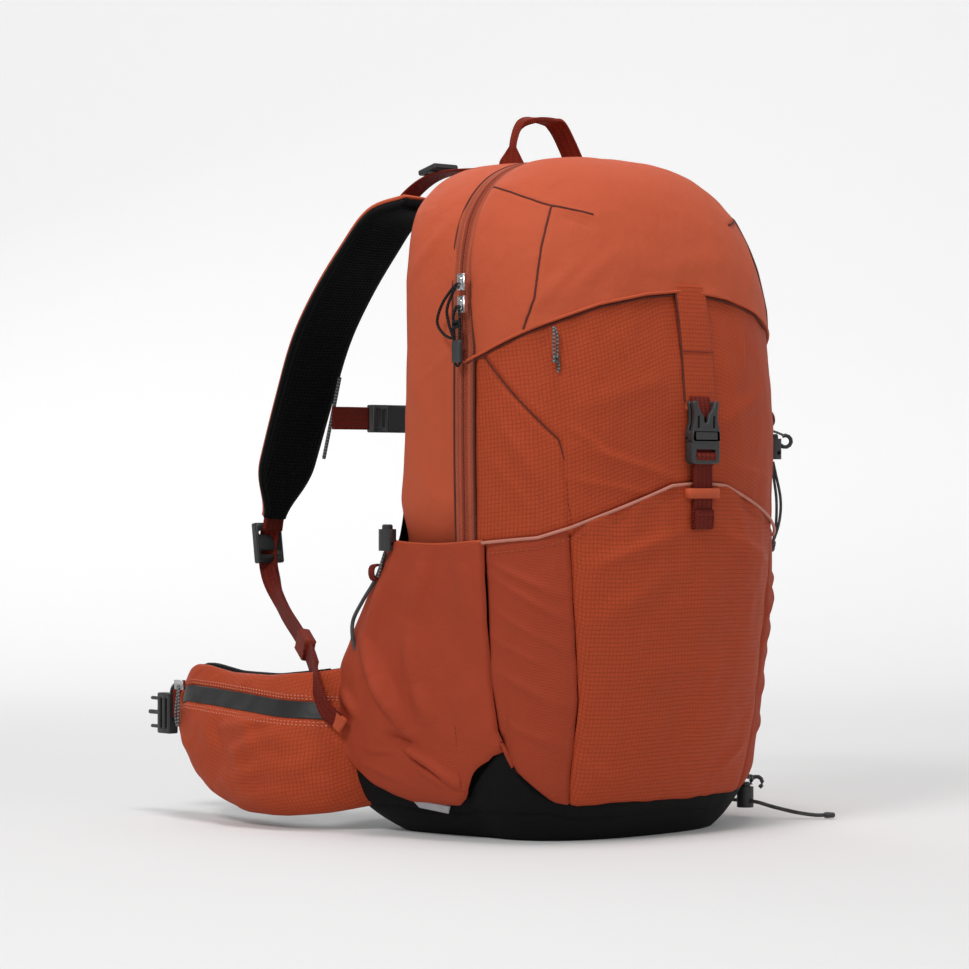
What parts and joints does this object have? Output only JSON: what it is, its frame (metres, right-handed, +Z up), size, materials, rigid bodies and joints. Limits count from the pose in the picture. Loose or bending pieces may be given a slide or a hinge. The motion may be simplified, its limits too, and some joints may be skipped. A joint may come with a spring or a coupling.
{
  "type": "daypack",
  "caption": "Hiking daypack, rust orange, with padded harness, sternum strap, pocketed hip belt, stretch pockets, clamshell zip and carry handle.",
  "frame": {"origin": "on the ground under the middle of the bag, where the base rests", "axes": "+Z up, -Y towards the front pocket, +Y towards the wearer's back, +X to the bag's side on the right when its front is seen"},
  "size_m": [0.3724, 0.4575, 0.5375],
  "materials": {
    "orange": "matte, plain woven nylon",
    "ripstop": "matte ripstop",
    "black_fabric": "matte coated weave",
    "mesh": "matte spacer mesh",
    "webbing": "ribbed woven webbing",
    "zip_tape": "woven tape",
    "slider_metal": "satin plated",
    "plastic": "fine moulded grain",
    "cord": "braided",
    "sheet_plastic": "matte",
    "stay_metal": "brushed",
    "foam": "closed-cell foam",
    "sleeve": "light nylon"
  },
  "bodies": {
    "pack": {"base_boot": "black_fabric", "back_panel": "mesh", "side_panel_left": "orange", "side_panel_right": "orange", "top_panel": "orange", "lid_panel": "orange", "front_panel": "ripstop", "stash_pocket": "ripstop", "bottle_pocket_left": "orange", "bottle_pocket_right": "orange", "main_zip": "zip_tape", "front_placket": "orange", "front_buckle_female": "plastic", "stash_loop": "orange", "frame_sheet": "sheet_plastic", "frame_stays": "stay_metal", "back_foam": "foam", "hydration_sleeve": "sleeve", "lumbar_pad": "mesh", "load_lifters": "webbing", "lifter_buckles": "plastic", "strap_webbing_left": "webbing", "strap_webbing_right": "webbing", "keeper_cord_left": "cord", "cord_lock_left": "plastic", "keeper_loop_right": "webbing", "keeper_cord_right": "cord", "keeper_hook_right": "plastic", "axe_cord": "cord", "axe_hook": "plastic"},
    "harness": {"shoulder_strap_left": "black_fabric", "shoulder_strap_right": "black_fabric", "sternum_rails": "cord"},
    "sternum_strap": {"sternum_webbing_right": "webbing", "sternum_buckle_female": "plastic"},
    "sternum_plug": {"sternum_webbing_left": "webbing", "sternum_buckle_male": "plastic"},
    "strap_lock_left": {"strap_buckle_left": "plastic"},
    "strap_lock_right": {"strap_buckle_right": "plastic"},
    "handle": {"carry_handle": "webbing"},
    "front_plug": {"front_buckle_male": "plastic", "front_webbing": "webbing"},
    "zip_upper": {"zip_slider_upper": "slider_metal"},
    "zip_lower": {"zip_slider_lower": "slider_metal", "zip_pulls": "cord"},
    "front_zip": {"front_slider": "cord"},
    "wing_left": {"belt_wing_left": "black_fabric", "belt_pocket_left": "orange"},
    "wing_right": {"belt_wing_right": "black_fabric", "belt_pocket_right": "orange"},
    "wing_zip_left": {"belt_slider_left": "cord"},
    "wing_zip_right": {"belt_slider_right": "cord"},
    "belt_plug": {"belt_buckle_male": "plastic"},
    "belt_socket": {"belt_buckle_female": "plastic"},
    "button_left": {"lock_button_left": "plastic"},
    "button_right": {"lock_button_right": "plastic"},
    "button_axe": {"lock_button_axe": "plastic"}
  },
  "joints": [
    {"name": "harness_lift", "type": "hinge", "parent": "pack", "child": "harness", "pos_m": [0, 0.103, 0.47], "axis": [1, 0, 0], "range_deg": [0, 5]},
    {"name": "sternum_height", "type": "slide", "parent": "harness", "child": "sternum_strap", "axis": [0, 0.29, -0.957], "range_m": [-0.03, 0.03]},
    {"name": "sternum_release", "type": "slide", "parent": "sternum_strap", "child": "sternum_plug", "axis": [-1, 0, 0], "range_m": [0, 0.01]},
    {"name": "strap_lock_left_tilt", "type": "hinge", "parent": "harness", "child": "strap_lock_left", "pos_m": [-0.096, 0.2735, 0.2265], "axis": [1, 0, 0], "range_deg": [-12, 12]},
    {"name": "strap_lock_right_tilt", "type": "hinge", "parent": "harness", "child": "strap_lock_right", "pos_m": [0.096, 0.2735, 0.2265], "axis": [1, 0, 0], "range_deg": [-12, 12]},
    {"name": "handle_fold", "type": "hinge", "parent": "pack", "child": "handle", "pos_m": [0, 0.055, 0.5045], "axis": [1, 0, 0], "range_deg": [-20, 20]},
    {"name": "front_release", "type": "slide", "parent": "pack", "child": "front_plug", "axis": [0, 0, -1], "range_m": [0, 0.014]},
    {"name": "zip_upper_run", "type": "slide", "parent": "pack", "child": "zip_upper", "axis": [0, 0, 1], "range_m": [0, 0.025]},
    {"name": "zip_lower_run", "type": "slide", "parent": "pack", "child": "zip_lower", "axis": [0, 0, -1], "range_m": [0, 0.1]},
    {"name": "front_zip_run", "type": "slide", "parent": "pack", "child": "front_zip", "axis": [0.8003, -0.5302, 0.2801], "range_m": [0, 0.016]},
    {"name": "wing_left_swing", "type": "hinge", "parent": "pack", "child": "wing_left", "pos_m": [-0.157, 0.157, 0.064], "axis": [0, 0, 1], "range_deg": [-12, 15]},
    {"name": "wing_right_swing", "type": "hinge", "parent": "pack", "child": "wing_right", "pos_m": [0.157, 0.157, 0.064], "axis": [0, 0, 1], "range_deg": [-15, 12]},
    {"name": "pouch_zip_left_run", "type": "slide", "parent": "wing_left", "child": "wing_zip_left", "axis": [0, -1, 0], "range_m": [0, 0.085]},
    {"name": "pouch_zip_right_run", "type": "slide", "parent": "wing_right", "child": "wing_zip_right", "axis": [0, -1, 0], "range_m": [0, 0.085]},
    {"name": "belt_plug_tilt", "type": "hinge", "parent": "wing_left", "child": "belt_plug", "pos_m": [-0.157, 0.3075, 0.078], "axis": [0, 0, 1], "range_deg": [-2, 2]},
    {"name": "belt_socket_tilt", "type": "hinge", "parent": "wing_right", "child": "belt_socket", "pos_m": [0.157, 0.3075, 0.078], "axis": [0, 0, 1], "range_deg": [-2, 2]},
    {"name": "lock_left_press", "type": "slide", "parent": "pack", "child": "button_left", "axis": [0, 0, -1], "range_m": [0, 0.003], "stiffness_N_per_m": 300},
    {"name": "lock_right_press", "type": "slide", "parent": "pack", "child": "button_right", "axis": [0, 0, -1], "range_m": [0, 0.003], "stiffness_N_per_m": 300},
    {"name": "lock_axe_press", "type": "slide", "parent": "pack", "child": "button_axe", "axis": [0, 0, -1], "range_m": [0, 0.003], "stiffness_N_per_m": 300}
  ]
}
